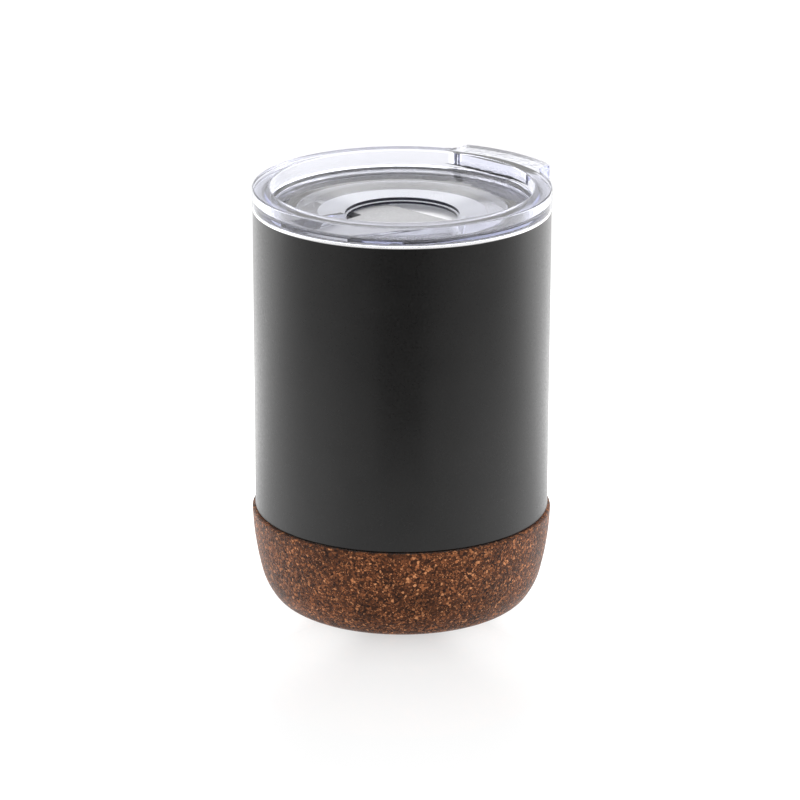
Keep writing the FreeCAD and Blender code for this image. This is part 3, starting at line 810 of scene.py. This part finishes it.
def make_slider():
    """T-shaped grey plate with soft edges, a thumb dish and a recess for its pad."""
    low, high = SLIDER_LOW_CORNER, SLIDER_HIGH_CORNER
    tongue, tongue_round = 10.2, 1.2
    bar_front, bar_round = -3.45, 1.5
    front_radius = -low.y
    angle = math.degrees(math.asin((tongue - tongue_round) / front_radius))
    outline = sweep((0, 0), front_radius, 270 - angle, 270 + angle, 20)
    corner_y = outline[-1][1]
    side = soften([
        (tongue, corner_y + tongue_round), (tongue, bar_front, 0.8), (high.x, bar_front, bar_round),
        (high.x, high.y, bar_round), (0, high.y)], steps=12)
    side = [point for point in side if point[0] > 0.001]
    outline = outline + side + [(-x, y) for x, y in reversed(side)]
    slider = prism("slide_plate", outline, low.z, high.z)
    dish_radius, dish_depth, dish_steps = 6.0, 0.35, 14
    ball = (dish_radius ** 2 + dish_depth ** 2) / (2 * dish_depth)
    centre = high.z - dish_depth + ball
    cap = [(0, centre - ball)]
    for step in range(1, dish_steps + 1):
        turn = math.asin(dish_radius * 1.3 / ball) * step / dish_steps
        cap.append((ball * math.sin(turn), centre - ball * math.cos(turn)))
    cap.append((0, cap[-1][1]))
    combine(slider, revolved("dish", cap, 96), "DIFFERENCE")
    recess = keyhole_front(PAD_HIGH_CORNER.x, -PAD_LOW_CORNER.y, PAD_HIGH_CORNER.y)
    combine(slider, prism("recess", recess, low.z - 1, PAD_HIGH_CORNER.z), "DIFFERENCE")
    bevel_edges(slider, 0.18, segments=3)
    paint(slider, GREY)
    smooth(slider, 30)
    place(slider, "slide_closure", "grey_plastic", "slider")


def make_pad():
    """Silicone pad in the plate's underside."""
    play = 0.03
    outline = keyhole_front(PAD_HIGH_CORNER.x - play, -PAD_LOW_CORNER.y - play, PAD_HIGH_CORNER.y - play)
    pad = prism("slide_pad", outline, PAD_LOW_CORNER.z, PAD_HIGH_CORNER.z)
    bevel_edges(pad, 0.06)
    paint(pad, PAD_SILICONE)
    smooth(pad)
    place(pad, "slide_closure", "silicone", "slider_seal")


# ---------------------------------------------------------------- hidden small pieces


def dress(node, material):
    """Gives a CAD node its material."""
    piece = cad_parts[node]
    paint(piece, material)
    for face in piece.data.polygons:
        face.material_index = 0


# ---------------------------------------------------------------- camera, floor and light

TARGET = Vector((0, 0, 0.055))
AZIMUTH = math.radians(43.0)
ELEVATION = math.radians(18.62)
DISTANCE = 1.0
PITCH = math.radians(18.839)
YAW = math.radians(0.0246)
ROLL = math.radians(-0.128)
SENSOR = 36.0
FOCAL = 181.6


def add_camera():
    """Camera at the photograph's angle, aimed a little above the cup's middle."""
    data = bpy.data.cameras.new("camera")
    data.sensor_width = SENSOR
    data.lens = FOCAL
    data.clip_start = 0.05
    data.clip_end = 50
    camera = bpy.data.objects.new("camera", data)
    bpy.context.scene.collection.objects.link(camera)
    away = Vector((math.sin(AZIMUTH) * math.cos(ELEVATION),
                   -math.cos(AZIMUTH) * math.cos(ELEVATION), math.sin(ELEVATION)))
    heading = AZIMUTH + YAW
    ahead = Vector((-math.sin(heading) * math.cos(PITCH),
                    math.cos(heading) * math.cos(PITCH), -math.sin(PITCH)))
    right = Vector((math.cos(heading), math.sin(heading), 0))
    upright = right.cross(ahead)
    up = (upright + right * math.tan(ROLL)).normalized()
    right = ahead.cross(up)
    camera.matrix_world = Matrix.Translation(TARGET + away * DISTANCE) @ Matrix(
        (right, up, -ahead)).transposed().to_4x4()
    bpy.context.scene.camera = camera


def toward_camera(side, back, height):
    """A point given as right, away and up as the camera sees it, in metres."""
    return Vector((side * math.cos(AZIMUTH) - back * math.sin(AZIMUTH),
                   side * math.sin(AZIMUTH) + back * math.cos(AZIMUTH), height))


def add_softbox(name, spot, aim, width, height, power):
    """A rectangular light that points at a spot."""
    data = bpy.data.lights.new(name, "AREA")
    data.shape = "RECTANGLE"
    data.size = width
    data.size_y = height
    data.energy = power
    light = bpy.data.objects.new(name, data)
    bpy.context.scene.collection.objects.link(light)
    light.location = spot
    light.rotation_euler = (aim - spot).to_track_quat("-Z", "Y").to_euler()


# the dark card and the second table top, in metres
FLAG_NEAR, FLAG_NEAR_HALF = 0.172, 0.05
FLAG_FAR, FLAG_FAR_HALF = 0.62, 0.22
FLAG_HEIGHT = -0.001
TWIN_HEIGHT = -0.002


def add_flag():
    """Dark card in front of the cup, seen only in its reflections."""
    mesh = bmesh.new()
    corners = [toward_camera(side, -ahead, FLAG_HEIGHT) for side, ahead in (
        (-FLAG_NEAR_HALF, FLAG_NEAR), (FLAG_NEAR_HALF, FLAG_NEAR),
        (FLAG_FAR_HALF, FLAG_FAR), (-FLAG_FAR_HALF, FLAG_FAR))]
    mesh.faces.new([mesh.verts.new(corner) for corner in corners])
    card = add_piece("flag", mesh)
    recipe = Recipe("flag_black")
    recipe.set(Base_Color=recipe.ramp(
        recipe.grain(20.0), (0.3, (0.02, 0.02, 0.02)), (0.7, (0.03, 0.03, 0.03))), Roughness=0.8)
    paint(card, recipe.material)
    only_reflected(card)


def only_reflected(piece):
    """Hides a piece from everything but glossy reflections."""
    piece.visible_camera = False
    piece.visible_diffuse = False
    piece.visible_shadow = False
    piece.visible_transmission = False


# the table's glow at distances from the cup's axis in millimetres, lower close to the cup as a painted soft
# shadow round its foot
TABLE_RADIUS = 6.0
GLOW_REACH = 300
GLOW_AND_FOOT_SHADE_STOPS = (
    (28, 0.59), (36, 0.62), (50, 0.665), (65, 0.68), (85, 0.705), (130, 0.73), (170, 0.70), (300, 0.24))


def add_table(name, height, front_dip):
    """A round white table top that glows softly, more so behind and beside the cup, and less close to its
    foot, which paints a soft shadow there.

    Its glow falls by front_dip ahead of the cup, or rises there if that is negative.
    """
    mesh = bmesh.new()
    bmesh.ops.create_circle(mesh, cap_ends=True, radius=TABLE_RADIUS, segments=96)
    for vertex in mesh.verts:
        vertex.co.z = height
    table = add_piece(name, mesh)
    recipe = Recipe(name + "_white")
    cloud = recipe.grain(60.0, detail=1)
    recipe.set(Base_Color=recipe.ramp(cloud, (0.3, (0.20, 0.20, 0.20)), (0.7, (0.205, 0.205, 0.205))))
    recipe.set(Roughness=0.04, IOR=1.5)

    distance = recipe.measure("LENGTH", recipe.place)
    back = recipe.measure("DOT_PRODUCT", recipe.place, toward_camera(0, 1, 0))
    aside = recipe.maths("ABSOLUTE", recipe.measure("DOT_PRODUCT", recipe.place, toward_camera(1, 0, 0)))
    # glow by distance, lower close to the cup: a painted soft shadow round its foot
    glow_and_foot_shade = recipe.ramp(recipe.span(distance, 0, GLOW_REACH * MM), *(
        (radius / GLOW_REACH, (level, level, level)) for radius, level in GLOW_AND_FOOT_SHADE_STOPS))
    spread = recipe.maths("DIVIDE", aside, distance)
    behind = recipe.maths(
        "MULTIPLY", recipe.ease(spread, 0.2, 0.45, 0, 0.85), recipe.ease(back, -0.1, 0.2, 0, 1))
    behind = recipe.maths("MAXIMUM", behind, recipe.ease(spread, 0.5, 0.9, 0, 0.3))
    glow = recipe.maths("ADD", glow_and_foot_shade, behind)
    front = recipe.maths(
        "MULTIPLY", recipe.ease(distance, 0.20, 0.27, 0, front_dip), recipe.ease(back, -0.12, -0.02, 1, 0))
    glow = recipe.maths("SUBTRACT", glow, front)
    glow = recipe.maths("ADD", glow, recipe.ease(back, 0.02, 0.14, 0, 0.34))
    glow = recipe.maths("ADD", glow, recipe.ease(spread, 0.3, 0.6, 0, 0.06))
    recipe.set(Emission_Color=(1, 1, 1, 1), Emission_Strength=glow)
    paint(table, recipe.material)
    return table


def add_floor():
    """White floor with a painted soft shadow round the cup's foot, and a twin under it, darker ahead of the
    cup, that only reflections see.
    """
    floor = add_table("floor", height=0.0, front_dip=-0.55)
    floor.visible_glossy = False
    only_reflected(add_table("floor_twin", height=TWIN_HEIGHT, front_dip=0.35))


SKY_LEVEL = 0.8
SIDE_GLOW = 1.2
HIGH_GLOW = 1.8
GAP_DEPTH = 0.6


def add_light():
    """White sky, brighter beside, above and behind the cup but dimmer low behind it, and a softbox."""
    world = bpy.data.worlds.new("studio")
    world.use_nodes = True
    bpy.context.scene.world = world
    sky = Nodes(world.node_tree)
    view = sky.add("ShaderNodeTexCoord").outputs["Generated"]
    aside = sky.maths("ABSOLUTE", sky.measure("DOT_PRODUCT", view, toward_camera(1, 0, 0)))
    back = sky.measure("DOT_PRODUCT", view, toward_camera(0, 1, 0))
    upward = sky.measure("DOT_PRODUCT", view, (0, 0, 1))

    sides = sky.ease(aside, 0.08, 0.45, 0.0, SIDE_GLOW)
    high = sky.ease(upward, 0.05, 0.35, 0.0, HIGH_GLOW)
    glow = sky.maths("MULTIPLY", sky.maths("MAXIMUM", sides, high), sky.ease(back, -0.4, 0.4, 0.1, 1.0))
    strength = sky.maths("ADD", glow, SKY_LEVEL)

    band = sky.maths(
        "MULTIPLY", sky.ease(upward, 0.10, 0.22, 0.0, GAP_DEPTH), sky.ease(upward, 0.36, 0.5, 1.0, 0.0))
    gap = sky.maths("MULTIPLY", band, sky.ease(back, 0.3, 0.6, 0.0, 1.0))
    strength = sky.maths("MULTIPLY", strength, sky.maths("SUBTRACT", 1.0, gap))

    background = sky.tree.nodes["Background"]
    background.inputs["Color"].default_value = (1, 1, 1, 1)
    sky.feed(background.inputs["Strength"], strength)
    add_softbox("overhead", toward_camera(0, 0.1, 1.5), aim=Vector((0, 0, 0.05)),
                width=0.8, height=0.8, power=1.0)


bpy.context.scene.view_settings.view_transform = "Standard"

make_shell()
make_liner()
make_cork()
make_lid()
make_underplate()
make_gasket()
make_slider()
make_pad()
for node, material in (("outer_bottom", PRESSED_STEEL), ("getter_clip", PRESSED_STEEL),
                       ("getter", GETTER), ("seal_bead", SEAL_GLASS), ("base_adhesive", ADHESIVE)):
    dress(node, material)
add_floor()
add_flag()
add_light()
add_camera()
